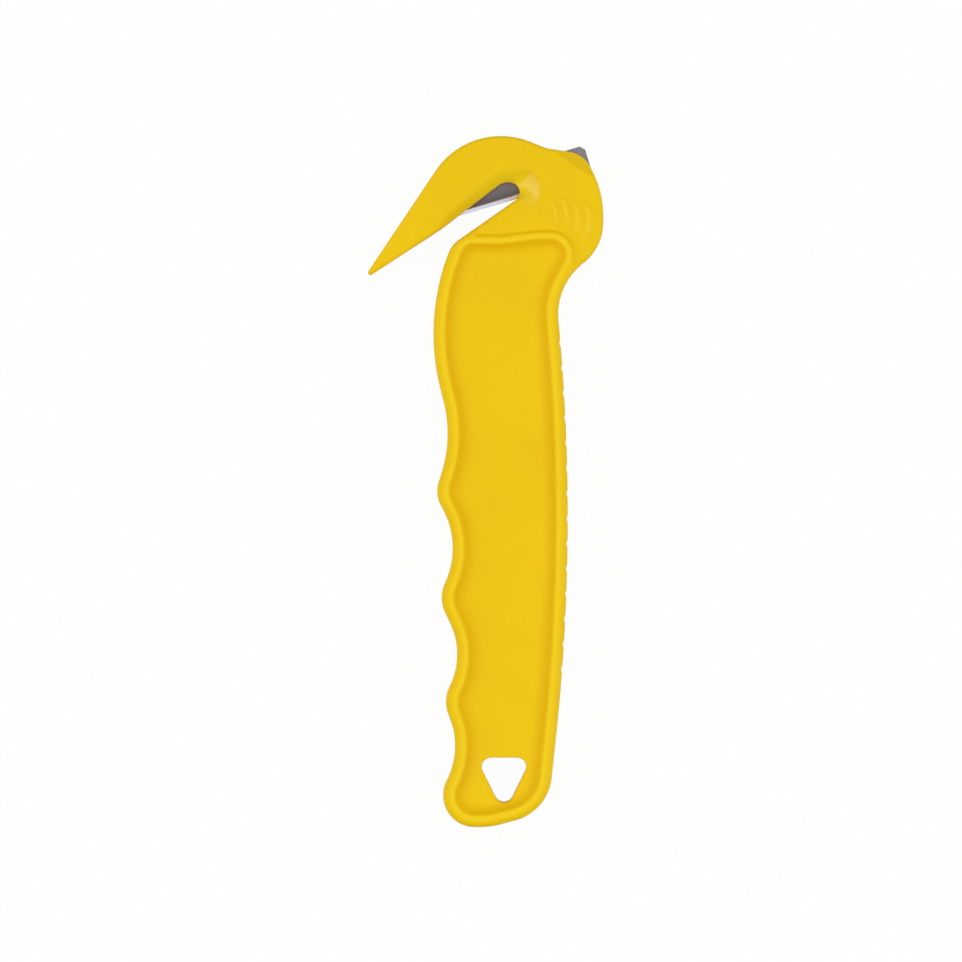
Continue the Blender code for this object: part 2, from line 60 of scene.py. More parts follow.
# The shells' plan, in millimetres from the butt, with +Y to the head
plan = {
    "gripLength": 146.9, "gripWidth": 30.0,
    "butt": [(-2.97, 0.51, 7.35), (12.13, 0.08, 19.7), (25.82, 3.78, 11.4)],
    "fingers": [(3.74, 90.13, 30.4), (-0.43, 77.22, 7.0), (5.68, 65.62, 19.0),
                (0.42, 52.90, 8.0), (6.56, 40.21, 16.85), (1.49, 29.33, 7.9),
                (5.95, 17.87, 17.8)],
    "swell": (3.17, 29.3, 52.0),            # proud of the finger line, below the throat, radius
    "back": (2.78, 69.1, 500.0),            # bow of the back edge, its height and radius
    "head": [(10.44, -21.51, 15.8), (21.45, -12.70, 11.6), (21.68, -0.47, 22.7),
             (17.15, 8.91, 6.3), (8.47, 10.23, 5.8), (-0.60, 13.86, 18.8),
             (-13.19, 11.06, 18.4)],
    "throat": (2.0, 146.9), "slotAngle": math.radians(35.0), "slotWidth": 4.5,
    "hookLength": 39.9, "hookLift": 0.7, "hookTip": 0.58,
    "belly": (17.65, 45.0),                 # the hook's inner edge bends here, and its radius
    "throatCorners": [(0.63, 0.80, 3.7), (2.85, 0.16, 2.54), (1.22, 0.10, 2.63)],
    "jaw": (18.0, 6.8),
}
throat = np.array(plan["throat"])


# A place given along and across the slot, about the throat's centre
def slotPlace(along, across):
    c, s = math.cos(plan["slotAngle"]), math.sin(plan["slotAngle"])
    return throat + np.array([along * c - across * s, along * s + across * c])


# Along and across the slot of many places, the turn above undone
def slotFrame(places):
    c, s = math.cos(plan["slotAngle"]), math.sin(plan["slotAngle"])
    away = places - throat
    return away[..., 0] * c + away[..., 1] * s, away[..., 1] * c - away[..., 0] * s


# A polygon whose corners (x, y, radius) become tangent arcs: the tangent length is
# radius / tan(half angle), cut in proportion where two arcs want more than their side
def tangentArcs(corners, closed=True, step=0.05):
    corners = np.array(corners, float)
    place, radius = corners[:, :2], corners[:, 2]
    before, after = np.roll(place, 1, 0) - place, np.roll(place, -1, 0) - place
    lengthBefore, lengthAfter = np.hypot(*before.T), np.hypot(*after.T)
    before, after = before / lengthBefore[:, None], after / lengthAfter[:, None]
    half = np.arccos(np.clip((before * after).sum(1), -1, 1)) / 2
    reach = radius / np.tan(half)
    share = np.minimum(1, np.minimum(lengthBefore / (reach + np.roll(reach, 1) + 1e-9),
                                     lengthAfter / (reach + np.roll(reach, -1) + 1e-9)))
    reach = reach * share
    radius = reach * np.tan(half)
    middle = before + after
    middle /= np.maximum(np.hypot(*middle.T), 1e-9)[:, None]
    centre = place + middle * (radius / np.sin(half))[:, None]
    runs = []
    for i in range(len(place)):
        if radius[i] < 1e-6 or (not closed and i in (0, len(place) - 1)):
            runs.append(place[i:i + 1])
            continue
        start = place[i] + before[i] * reach[i] - centre[i]
        end = place[i] + after[i] * reach[i] - centre[i]
        turn = math.atan2(start[0] * end[1] - start[1] * end[0], start @ end)
        count = max(4, math.ceil(abs(turn) * radius[i] / step))
        angle = math.atan2(start[1], start[0]) + turn * np.linspace(0, 1, count + 1)
        runs.append(centre[i] + radius[i] * np.stack((np.cos(angle), np.sin(angle)), 1))
    return np.concatenate(runs), len(runs[0])


def lengthsOf(path):
    return np.concatenate(([0.0], np.cumsum(np.hypot(*np.diff(path, axis=0).T))))


# Places at the given lengths along a path, straight between its points
def along(path, lengths):
    total = lengthsOf(path)
    return np.stack([np.interp(lengths, total, path[:, k]) for k in (0, 1)], 1)


# Unit normals on the left of a path: the central difference turned a quarter
def leftOf(path, closed=True):
    ahead = np.roll(path, -1, 0) - np.roll(path, 1, 0)
    if not closed:
        ahead[0], ahead[-1] = path[1] - path[0], path[-1] - path[-2]
    ahead /= np.maximum(np.hypot(*ahead.T), 1e-12)[:, None]
    return np.stack((-ahead[:, 1], ahead[:, 0]), 1)


# Distance from each place to a path, with the segment and the share along it. Neighbours
# go in blocks, and each block looks only at the segments its own circle can reach
def nearest(places, path, block=400):
    start, run = path[:-1], np.diff(path, axis=0)
    step = np.hypot(*run.T).max()
    out = []
    for k in range(0, len(places), block):
        here = places[k:k + block]
        middle = (here.min(0) + here.max(0)) / 2
        reach = 2 * np.hypot(*(here - middle).T).max() + 2 * step
        distance = np.hypot(*(start - middle).T)
        kept = np.flatnonzero(distance <= distance.min() + reach)
        away = here[:, None, :] - start[kept]
        square = np.maximum((run[kept] ** 2).sum(1), 1e-12)
        share = np.clip((away * run[kept]).sum(2) / square, 0, 1)
        gap = np.hypot(*np.moveaxis(away - share[:, :, None] * run[kept], 2, 0))
        best = gap.argmin(1)
        row = np.arange(len(best))
        out.append(np.stack((gap[row, best], kept[best] + share[row, best]), 1))
    gap, spot = np.concatenate(out).T
    return gap, spot


def ramp(value, start, end):
    return np.clip((value - start) / (end - start), 0, 1)


def smooth(value, start, end):
    t = ramp(value, start, end)
    return t * t * (3 - 2 * t)


def outlineCorners():
    half = plan["slotWidth"] / 2
    finger = -plan["gripWidth"] / 2
    top, back, bottom = plan["throatCorners"]
    proud, below, swellRadius = plan["swell"]
    bow, bowMiddle, bowRadius = plan["back"]
    corners = [
        (*slotPlace(-plan["hookLength"], half + plan["hookLift"]), plan["hookTip"]),
        (*slotPlace(-plan["belly"][0], half), plan["belly"][1]),
        (*slotPlace(top[0], half + top[1]), top[2]),
        (*slotPlace(*back[:2]), back[2]),
        (*slotPlace(bottom[0], -half + bottom[1]), bottom[2]),
        (*slotPlace(-plan["jaw"][0], -half + bottom[1]), plan["jaw"][1]),
        (finger - proud, plan["gripLength"] - below, swellRadius),
    ]
    corners += [(finger + inset, up, r) for inset, up, r in plan["fingers"] + plan["butt"]]
    corners.append((-finger + bow, bowMiddle, bowRadius))
    return corners + [(throat[0] + x, throat[1] + y, r) for x, y, r in plan["head"]]


# The same path with more places along its straight runs
def filledIn(path, step=0.1):
    total = lengthsOf(path)
    return along(path, np.union1d(total, np.arange(0, total[-1], step)))


outline, tipCount = tangentArcs(outlineCorners())
tipArc = outline[:tipCount]
outline = filledIn(np.vstack((outline, outline[:1])))
outlineLength = lengthsOf(outline)
perimeter = outlineLength[-1]
tipLength = lengthsOf(tipArc)[-1]


# Length along the outline of the point nearest to a place
def spotOf(place):
    return outlineLength[np.hypot(*(outline - place).T).argmin()]


# Where the plan goes in the frame: its box's centre on the CAD shell's box's centre
shellLow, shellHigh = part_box("front_half")
frameShift = np.array(((shellLow + shellHigh) / 2)[:2]) / mm - (outline.min(0) + outline.max(0)) / 2
partingLevel = (cadLow.z + cadHigh.z) / 2
print("outline", len(outline), "points,", round(perimeter, 1), "mm round, shift", frameShift.round(3))


# The two moulded shells. Spans are (where it starts, where it ends)
shell = {
    "rimHalf": 6.0, "faceHalf": 5.4, "webHalf": 4.4, "hookTipHalf": 2.4,
    "taperStart": 12.0, "taperAcross": (0, 2),
    "shoulderWidth": (1.4, 0.9), "shoulderDrop": (1.6, 1.0),   # on the grip, on the head
    "shoulderShare": (-26.0, -15.0),        # the one becomes the other between these heights
    "roomShare": 0.9,                       # share of a thin place's half width for its edge
    "pillowWidth": 7.0, "pillowDrop": 0.25,     # the face sinks a little towards its edge
    "pillowRoom": (1.0, 4.0),               # but not where the half width is as small as this
    "funnelWidth": 5.0, "funnelHookWidth": 2.7, "funnelLip": 1.9,
    "funnelPower": (1.05, 2.2), "funnelNarrows": 0.4,       # round the throat's end, on the hook
    "funnelGrows": 2.5,                     # it widens to the throat over this many widths
    "funnelTurn": (0.3, 1.9), "funnelMouth": (-21.8, -11.3),    # across and along the slot
    "funnelJaw": (math.radians(-90), math.radians(10)),     # about the throat, from the slot
    "crestIn": 1.95, "crestWidth": 1.1, "crestFall": 1.0,
    "crestShare": (2.1, 3.15),              # the crest lifts its edge too, up to this far out
    "wallRun": 1.4, "wallPower": 1.5,
    "leaves": (-16.5, -21.0),               # where the crest leaves the finger and back edges
    "bead": [(16.7, -9.8, 4.4), (6.0, -10.1, 14.0), (-2.0, -11.1, 14.0), (-11.0, -11.0, 3.4)],
    "grooveOut": 2.0, "grooveWidth": 1.6, "grooveDepth": 0.11, "grooveFades": (0.3, 1.6),
    "facet": ((10.2, 9.6), (19.2, 3.5)), "facetSteepness": 1.0, "facetBow": 0.25,
    "facetSoft": 0.04,
    # the ridges' share of 0.8 is a painted highlight on their tops
    "ridges": {"count": 4, "pitch": 2.55, "first": 10.6, "height": 0.45, "width": 2.5,
               "paintedHighlight": 0.8, "middle": -6.4, "bend": (12.0, 7.5), "fade": 1.2,
               "tops": (-2.6, -1.5, -2.4, -2.2), "ends": (-7.7, -7.7, -9.3, -11.1)},
    "notches": {"count": 14, "pitch": 5.8, "first": 36.7, "width": 1.8, "depth": 0.3,
                "side": 8.0, "reach": 0.35},
    "hole": {"point": 3.15, "height": 13.1, "width": 13.0, "offset": 0.6, "radius": 2.2,
             "lip": 0.35},
    # the gloss mask and the painted-light masks: over the funnel's share (gloss, and a paler painted
    # light in the funnel), and in from the crest (a painted highlight: middle and width; a painted
    # recess shade: where it rises and where it fades)
    "sleek": (0.0, 0.12), "funnelPaintedLight": (0.05, 0.8), "paintedHighlight": (0.05, 0.55), "paintedRecessShade": (0.4, 1.3, 1.6, 4.2),
}

# How the shells' surface is cut into rows and columns. Steps are shares of their stretch,
# except the crest's, which are in millimetres
net = {
    "coarse": 1400,                         # places round the outline where its profile is read
    "interface": (-7.5, (20.9, -4.5)),      # the head's patch meets the grip's patch here
    "beadMeets": ((-6.5, -10.7), (14.0, -11.2)),    # places of the bead that face those two
    "columns": 112, "rows": (100, 70, 60, 45),      # of the head's patch
    "fan": ((-8, 12), (17, 8), (21, -0.5)), "fanEnd": 0.3,  # where its stretches end
    "crowding": 0.55, "evenRows": 27,
    "edgeCount": 320, "buttCount": 160,     # of the grip's patch, along an edge and the butt
    "outerSteps": (0, 0.01, 0.025, 0.05, *np.linspace(0.085, 1, 19)),   # to the rim's foot
    "fallShare": 0.8, "fallSteps": (0.8, 0.6, 0.4, 0.2, 0.05),          # up to the crest
    "crestSteps": (-0.48, -0.3, 0, 0.25, 0.4, 0.5, 0.57, 0.66, 0.76, 0.88, 1.0, 1.12, 1.22, 1.32,
                   1.42, 1.55),             # over the crest and down the recess's wall
    "panelSteps": (0.025, 0.055, 0.09, 0.13, 0.18, 0.24, 0.31, 0.39, 0.48, 0.58, 0.68, 0.78, 0.87),
    "lipSteps": (1, 0.66, 0.38, 0.16, 0),
    "lipRun": (1.2, 0.12),                  # the lip's row is this many lips wide, or this share
    "spineTop": (0.5, -19.0), "spineStep": 0.05,    # the middle line's upper end and its fall
    "holeRise": 8.0, "holeRows": 88,        # and how it bends to the hang hole
    "buttMiddle": 1.5, "holeShares": (0, 0.14, 0.5, 0.86, 1),   # of the hang hole's loop
    "wallSteps": (0, 0.25, 0.6, 1), "wallFoot": 0.4,
    "seamOff": 0.14, "seamSteps": ((0.3, 0.3), (0.65, 0.18), (1, 0.07), (1.05, 0.02)),
    "mating": 0.02, "holeSteps": (0, 0.4, 0.85, 1),
}


# The hang hole, from the middle of its top edge down its left side and back up its right
def holeLoop():
    h = shell["hole"]
    top, x, half, r = h["point"] + h["height"], h["offset"], h["width"] / 2, h["radius"]
    loop, _ = tangentArcs([(x, top, 0), (x - half, top, r), (x, h["point"], r), (x + half, top, r)])
    return np.vstack((loop, loop[:1]))


# The rim's crest: the outline moved in along the grip, and a rounded bead across the head
def crestParts():
    edge = outline[:-1]
    inner = edge + leftOf(edge) * shell["crestIn"]
    side = np.where(edge[:, 0] < 0, *[throat[1] + leave for leave in shell["leaves"]])
    low = np.flatnonzero((edge[:, 1] < side) & (slotFrame(edge)[1] < 0))
    gripRun = inner[low]
    corners = [(*(throat + (x, y)), r) for x, y, r in shell["bead"]]
    bead, _ = tangentArcs([(*gripRun[-1], 0), *corners, (*gripRun[0], 0)], closed=False)
    return filledIn(bead[::-1]), outlineLength[low[0]], outlineLength[low[-1]]


bead, leaveFinger, leaveBack = crestParts()     # the bead runs from the finger edge to the back
hole = holeLoop()
meetSlot, meetEdge = net["interface"]
meetFinger = spotOf(slotPlace(meetSlot, -plan["slotWidth"] / 2 + plan["throatCorners"][2][1]))
meetBack = spotOf(throat + meetEdge)


# The edge's profile at each place of the outline: the width and drop of its round shoulder,
# and of the funnel round the throat's end the share from 0 to 1, the width and the power
def edgeProfile(places):
    far, near = slotFrame(places)
    inSlot = (far < plan["slotWidth"]) & (np.abs(near) < plan["slotWidth"])
    funnel = smooth(far, *shell["funnelMouth"]) * inSlot
    funnel = funnel * smooth(np.arctan2(near, far), *shell["funnelJaw"])
    turn = smooth(near, *shell["funnelTurn"])
    wide, narrow = shell["funnelWidth"], shell["funnelHookWidth"]
    end = smooth(far, -shell["funnelGrows"] * wide, 0) * (1 - shell["funnelNarrows"] * turn)
    straight, soft = shell["funnelPower"]
    onHead = smooth(places[:, 1] - throat[1], *shell["shoulderShare"])
    width, drop = (shell[key][0] + (shell[key][1] - shell[key][0]) * onHead
                   for key in ("shoulderWidth", "shoulderDrop"))
    return width, drop, funnel, narrow + (wide - narrow) * end, straight + (soft - straight) * turn


# Radius of the largest circle inside the outline that touches it at each place
def roomAt(path):
    normals = leftOf(path[:-1])
    reach = path[None, :-1, :] - path[:-1, None, :]
    ahead = (reach * normals[:, None, :]).sum(2)
    square = (reach ** 2).sum(2)
    room = np.where(ahead > 1e-6, square / np.maximum(2 * ahead, 1e-6), np.inf).min(1)
    return np.append(room, room[0])


coarseLength = np.linspace(0, perimeter, net["coarse"])
coarse = along(outline, coarseLength)
coarseRoom = roomAt(coarse)
coarseWidth, coarseDrop, coarseFunnel, coarseReach, coarsePower = edgeProfile(coarse)
coarseWidth, coarseReach = (np.minimum(width, shell["roomShare"] * coarseRoom)
                            for width in (coarseWidth, coarseReach))


# Thumb ridges: a raised cosine across each, bowed towards the back as x = -y^2 / (2 bend),
# and faded out beyond its two ends
def ridgeRise(places):
    r = shell["ridges"]
    x, y = (places - throat).T
    share = ramp(x, r["first"], r["first"] + r["pitch"] * (r["count"] - 1))
    bend = r["bend"][0] + (r["bend"][1] - r["bend"][0]) * share
    turn = (x + (y - r["middle"]) ** 2 / (2 * bend) - r["first"]) / r["pitch"]
    order = np.clip(np.round(turn), 0, r["count"] - 1).astype(int)
    off = np.abs(turn - order) * r["pitch"] / (r["width"] / 2)
    wave = 0.5 + 0.5 * np.cos(math.pi * np.clip(off, 0, 1))
    top, low = np.array(r["tops"])[order], np.array(r["ends"])[order]
    ends = smooth(top - y, -r["fade"], r["fade"]) * smooth(y - low, -r["fade"], r["fade"])
    return r["height"] * wave * ends


# The splitter's facet: a slope that falls away beyond a chord that bows out in its middle.
# It meets the surface in a soft corner, z - s log(1 + exp((z - slope) / s))
def cutFacet(places, z):
    first, last = (throat + p for p in np.array(shell["facet"]))
    length = np.hypot(*(last - first))
    chord = (last - first) / length
    away = places - first
    share = (away @ chord) / length
    beyond = away[:, 1] * chord[0] - away[:, 0] * chord[1]
    beyond = beyond + shell["facetBow"] * np.clip(4 * share * (1 - share), -1, 1)
    beyond = np.where(away @ chord > -2 * shell["shoulderWidth"][0], beyond, -shell["rimHalf"])
    slope = shell["faceHalf"] - shell["facetSteepness"] * beyond
    soft = shell["facetSoft"]
    return z - soft * np.logaddexp(0, (z - slope) / soft)


# Where the finish is glossy, and where a paler painted light lies in the funnel, both by how deep the
# funnel is, and where a painted highlight lies on the crest and a painted shade in the recess, by the
# distance in from the crest.
# The ridges' tops get the painted highlight too
def glossAndPaintedLightMasks(deep, power, into, ridge):
    straight, soft = shell["funnelPower"]
    sleek = smooth(deep * ramp(power, soft, straight), *shell["sleek"])
    # painted light in the funnel: a paler, less saturated yellow, by how deep the funnel is
    funnelPaintedLight = ramp(deep, *shell["funnelPaintedLight"])
    # painted highlight along the crest, and on the ridges' tops
    middle, width = shell["paintedHighlight"]
    paintedHighlight = np.exp(-((into - middle) / width) ** 2)
    paintedHighlight = np.maximum(paintedHighlight, shell["ridges"]["paintedHighlight"] * (ridge / shell["ridges"]["height"]) ** 2)
    # painted shade in the recess, in a band in from the crest
    paintedRecessShade = smooth(into, *shell["paintedRecessShade"][:2]) * (1 - smooth(into, *shell["paintedRecessShade"][2:]))
    return sleek, funnelPaintedLight, paintedHighlight, paintedRecessShade


# Height over the parting plane: the face with its ridges, lifted to the rim's crest, less a
# quarter ellipse at the edge and the funnel (1 - gap / reach)^power, cut down inside the crest
# by the recess's wall, depth (1 - exp(-down^power)), by the facet and by the hang hole's lip.
# The gloss mask and the painted-light masks come with it
def heightOf(places, crest):
    gap, spot = nearest(places, outline)
    spot = np.interp(spot, np.arange(len(outline)), outlineLength)
    width, drop, funnel, reach, power, room = (
        np.interp(spot, coarseLength, values) for values in
        (coarseWidth, coarseDrop, coarseFunnel, coarseReach, coarsePower, coarseRoom))
    far, near = slotFrame(places)
    thin = ramp(-far, shell["taperStart"], plan["hookLength"])
    thin = thin * smooth(near, *shell["taperAcross"])
    face = shell["faceHalf"] - (shell["faceHalf"] - shell["hookTipHalf"]) * thin
    crestGap, _ = nearest(places, crest)
    into = np.where(inside(places, crest), crestGap, -crestGap)
    crestHalf = shell["crestWidth"] / 2
    lift = smooth(into, -crestHalf - shell["crestFall"], -crestHalf)
    lift = np.maximum(lift, 1 - smooth(gap - into, *shell["crestShare"]))
    pillow = shell["pillowDrop"] * (1 - ramp(gap, 0, shell["pillowWidth"])) ** 2
    pillow = pillow * ramp(room, *shell["pillowRoom"]) * (1 - lift)
    ridge = ridgeRise(places)
    z = np.maximum(face + ridge - pillow, face + (shell["rimHalf"] - face) * lift)
    groove = np.exp(-((into + shell["grooveOut"]) / (shell["grooveWidth"] / 2)) ** 2)
    z = z - shell["grooveDepth"] * groove * smooth(gap, *shell["grooveFades"])
    off = np.clip(1 - gap / width, 0, 1)
    shoulder = drop * (1 - np.sqrt(np.clip(1 - off ** 2, 0, 1)))
    off = np.clip(1 - gap / reach, 0, 1)
    cone = (shell["faceHalf"] - shell["funnelLip"]) * off ** power
    z = z - face / shell["faceHalf"] * (shoulder + (cone - shoulder) * funnel)
    down = np.clip(into - crestHalf, 0, None) / shell["wallRun"]
    wall = (shell["rimHalf"] - shell["webHalf"]) * (1 - np.exp(-down ** shell["wallPower"]))
    z = np.where(into > 0, np.minimum(z, shell["rimHalf"] - wall), z)
    z = cutFacet(places, z)
    lip = np.clip(1 - nearest(places, hole)[0] / shell["hole"]["lip"], 0, 1)
    z = z - shell["hole"]["lip"] * (1 - np.sqrt(1 - lip ** 2)) * (into > 0)
    return z, *glossAndPaintedLightMasks(off * funnel, power, into, ridge)


# Whether each place is inside a closed path, by counting the crossings to its right
def inside(places, path, block=4000):
    start, end = path[:-1], path[1:]
    rise = np.where(end[:, 1] == start[:, 1], 1e-12, end[:, 1] - start[:, 1])
    out = []
    for k in range(0, len(places), block):
        x, y = places[k:k + block].T[:, :, None]
        straddle = (start[:, 1] > y) != (end[:, 1] > y)
        cross = start[:, 0] + (y - start[:, 1]) / rise * (end[:, 0] - start[:, 0])
        out.append((straddle & (x < cross)).sum(1) % 2 == 1)
    return np.concatenate(out)


# Quads of a grid whose first axis runs along and second across
def gridFaces(rows, columns, first=0):
    k = first + np.arange(rows * columns).reshape(rows, columns)
    return np.stack((k[:-1, :-1], k[1:, :-1], k[1:, 1:], k[:-1, 1:]), -1).reshape(-1, 4)


# Even lengths between stations, with a count of steps for each stretch
def stations(stops, counts):
    parts = [np.linspace(a, b, n, endpoint=False) for a, b, n in zip(stops, stops[1:], counts)]
    return np.append(np.concatenate(parts), stops[-1])


# Length along the outline at a height, on the finger side (-1) or on the back (1)
def sideSpot(height, side):
    off = np.abs(outline[:, 1] - height)
    return outlineLength[np.where(outline[:, 0] * side > 0, off, np.inf).argmin()]


# The crest's places that face the grip patch's outer ones: the outline moved in, and where
# the crest has left the edge, even steps along the bead. A short average smooths the joins
def crestRow(outer, spots):
    half = net["columns"] // 2
    spots = np.concatenate((np.zeros(half), spots, np.full(half, perimeter)))
    lengths = lengthsOf(bead)
    first, last = (lengths[np.hypot(*(bead - throat - p).T).argmin()] for p in net["beadMeets"])
    onFinger = np.interp(spots, [meetFinger, leaveFinger], [first, 0])
    onBack = np.interp(spots, [leaveBack, meetBack], [lengths[-1], last])
    onBead = np.where(spots > (leaveFinger + leaveBack) / 2, onBack, onFinger)
    middle = (first + last) / 2
    onBead[:half] = np.linspace(middle, first, half, endpoint=False)
    onBead[-half:] = np.linspace(last, middle, half + 1)[1:]
    left = (spots < leaveFinger) | (spots > leaveBack)
    row = np.where(left[:, None], along(bead, onBead), outer + leftOf(outer) * shell["crestIn"])
    kernel = np.array([1, 2, 3, 4, 3, 2, 1]) / 16
    row = np.stack([np.convolve(np.concatenate((c[-4:-1], c, c[1:4])), kernel, "valid")
                    for c in row.T], 1)
    row[-1] = row[0]
    return row


# The grip's patch, about its crest. A place runs straight from the edge to the foot of the
# rim, then along the crest's own normals, then straight to the middle line or the hang hole
def gripPatch():
    n, m, half = net["edgeCount"], net["buttCount"], net["columns"] // 2
    holeTop = shell["hole"]["point"] + shell["hole"]["height"]
    left, right = (sideSpot(holeTop + net["holeRise"], side) for side in (-1, 1))
    spots = stations((meetFinger, left, right, meetBack), (n, m, n))
    edge = along(outline, spots)
    across = np.linspace(edge[-1], edge[0], 2 * half + 1)
    outer = np.concatenate((across[half:-1], edge, across[1:half + 1]))
    crest = crestRow(outer, spots)
    normal = leftOf(crest[:-1])
    normal = np.vstack((normal, normal[:1]))
    crestHalf = shell["crestWidth"] / 2
    room = nearest(crest, coarse)[0] * net["fallShare"] - crestHalf
    fall = np.minimum(shell["crestFall"], room)[:, None]
    foot = crest - normal * (crestHalf + fall)
    rows = [outer + (foot - outer) * t for t in net["outerSteps"]]
    rows += [crest - normal * (crestHalf + fall * t) for t in net["fallSteps"]]
    rows += [crest + normal * t for t in net["crestSteps"]]

    # The middle line, level with the crest on both sides, and bent to the hang hole's top
    order = np.arange(half + n + 1)
    top, holeMiddle = throat + net["spineTop"], hole[0]
    level = (crest[order, 1] + crest[::-1][order, 1]) / 2
    level = np.minimum.accumulate(level) - net["spineStep"] * order
    y = np.interp(level, [level[-1], level[0]], [holeTop + net["holeRise"], top[1]])
    y -= net["holeRise"] * smooth(order, order[-1] - net["holeRows"], order[-1])
    spine = np.stack((np.interp(y, [holeTop, top[1]], [holeMiddle[0], top[0]]), y), 1)

    # The hang hole's ring, each part of it facing its part of the butt
    facing = [left, sideSpot(holeTop, -1), spotOf((net["buttMiddle"], 0.0)),
              sideSpot(holeTop, 1), right]
    lengths = lengthsOf(hole)[-1] * np.array(net["holeShares"])
    ring = along(hole, np.interp(spots[n:n + m + 1], facing, lengths))
    inner = np.concatenate((spine, ring[1:-1], spine[::-1]))
    last = rows[-1]
    rows += [last + (inner - last) * t for t in net["panelSteps"]]
    run, most = net["lipRun"]
    share = shell["hole"]["lip"] * run / np.hypot(*(inner - last).T)[:, None]
    rows += [inner + (last - inner) * np.minimum(share, most) * t for t in net["lipSteps"]]
    return np.stack(rows, 1), crest


# The head's patch: straight rows from the hook's inner edge to its outer edge, fanned round
# the throat's end, the first on the tip's arc and the last where the grip's patch begins.
# The places crowd at the edges by a cosine, and less so in the last rows
def headPatch():
    half, end = plan["slotWidth"] / 2, plan["throatCorners"][1][0] + net["fanEnd"]
    inStops = [tipLength, *(spotOf(slotPlace(*p)) for p in ((0, half), (end, 0), (0, -half))),
               meetFinger]
    outStops = [perimeter, *(spotOf(throat + p) for p in net["fan"]), meetBack]
    inner = along(outline, stations(inStops, net["rows"]))
    outer = along(outline, stations(outStops, net["rows"]))
    even = np.linspace(0, 1, net["columns"] + 1)
    crowded = even + ((1 - np.cos(math.pi * even)) / 2 - even) * net["crowding"]
    count = len(inner)
    back = smooth(np.arange(count), count - net["evenRows"], count - 1)[:, None]
    t = crowded + (even - crowded) * back
    patch = inner[:, None] + (outer - inner)[:, None] * t[:, :, None]
    patch[0] = along(tipArc, tipLength * (1 - even))
    return patch


# Vertices that coincide become one, by their places rounded to 1 / finest
def weld(places, faces, loops, finest=10000):
    _, first, back = np.unique((places * finest).round().astype(int), axis=0,
                               return_index=True, return_inverse=True)
    back = back.reshape(-1)
    return first, back[faces], [back[loop] for loop in loops]


def newMesh(name, places, faces, material):
    mesh = bpy.data.meshes.new(name)
    mesh.from_pydata(places, [], faces)
    mesh.validate()
    mesh.materials.append(material)
    mesh.shade_smooth()
    piece = bpy.data.objects.new(name, mesh)
    bpy.context.scene.collection.objects.link(piece)
    return piece


def setAttribute(piece, name, values):
    piece.data.attributes.new(name, "FLOAT", "POINT").data.foreach_set("value", values)


# A place in the plan, with a height over the parting plane, in the frame's metres
def inFrame(places, heights):
    flat = (places + frameShift) * mm
    return np.column_stack((flat, heights * mm + partingLevel))


grip, crest = gripPatch()
head = headPatch()
gripHeight, *gripMasks = heightOf(grip.reshape(-1, 2), crest)
headHeight, *headMasks = heightOf(head.reshape(-1, 2), crest)
masks = [np.concatenate(pair) for pair in zip(gripMasks, headMasks)]
print("patches: grip", grip.shape[:2], "head", head.shape[:2])


# The serrations: V-shaped nicks in the back edge that fade out a little way in
def nicked(places):
    n = shell["notches"]
    onBack = places[..., 0] > n["side"]
    order = np.clip(np.round((places[..., 1] - n["first"]) / n["pitch"]), 0, n["count"] - 1)
    off = np.abs(places[..., 1] - n["first"] - order * n["pitch"])
    depth = n["depth"] * np.clip(1 - off / (n["width"] / 2), 0, 1)
    into = np.clip(places[:, :1, 0] - np.where(onBack, places[..., 0], 0), 0, None)
    moved = places.copy()
    moved[..., 0] -= depth * np.exp(-into / n["reach"]) * onBack
    return moved


# A shell's walls: from its edge down to the seam, where it turns in, and down the hang hole
def shellWalls(edge, ring):
    inward = leftOf(edge[:-1, :2])
    inward = np.vstack((inward, inward[:1]))
    wall = [np.column_stack((edge[:, :2], edge[:, 2] * (1 - t) + net["wallFoot"] * t))
            for t in net["wallSteps"]]
    wall += [np.column_stack((edge[:, :2] + inward * net["seamOff"] * t ** 2,
                              np.full(len(edge), high))) for t, high in net["seamSteps"]]
    holeWall = [np.column_stack((ring[:, :2], ring[:, 2] * (1 - t) + net["mating"] * t))
                for t in net["holeSteps"]]
    return np.stack(wall, 1), np.stack(holeWall, 1)


# A shell's two flat faces on the parting plane: each goes round one side of the seam, from
# the slot to the butt or back, and then round the same side of the hang hole
def flatLoops(places, seam, holeSeam):
    slotEnd = np.hypot(*(places[seam, :2] - slotPlace(0, -plan["slotWidth"] / 2)).T).argmin()
    butt = np.hypot(*(places[seam, :2] - (shell["hole"]["offset"], 0.0)).T).argmin()
    holeEnd = places[holeSeam, 1].argmin()
    count = len(seam)
    left = seam[(slotEnd + np.arange((butt - slotEnd) % count + 1)) % count]
    right = seam[(butt + np.arange((slotEnd - butt) % count + 1)) % count]
    return (np.concatenate((left, holeSeam[:holeEnd + 1][::-1])),
            np.concatenate((right, holeSeam[holeEnd:][::-1])))


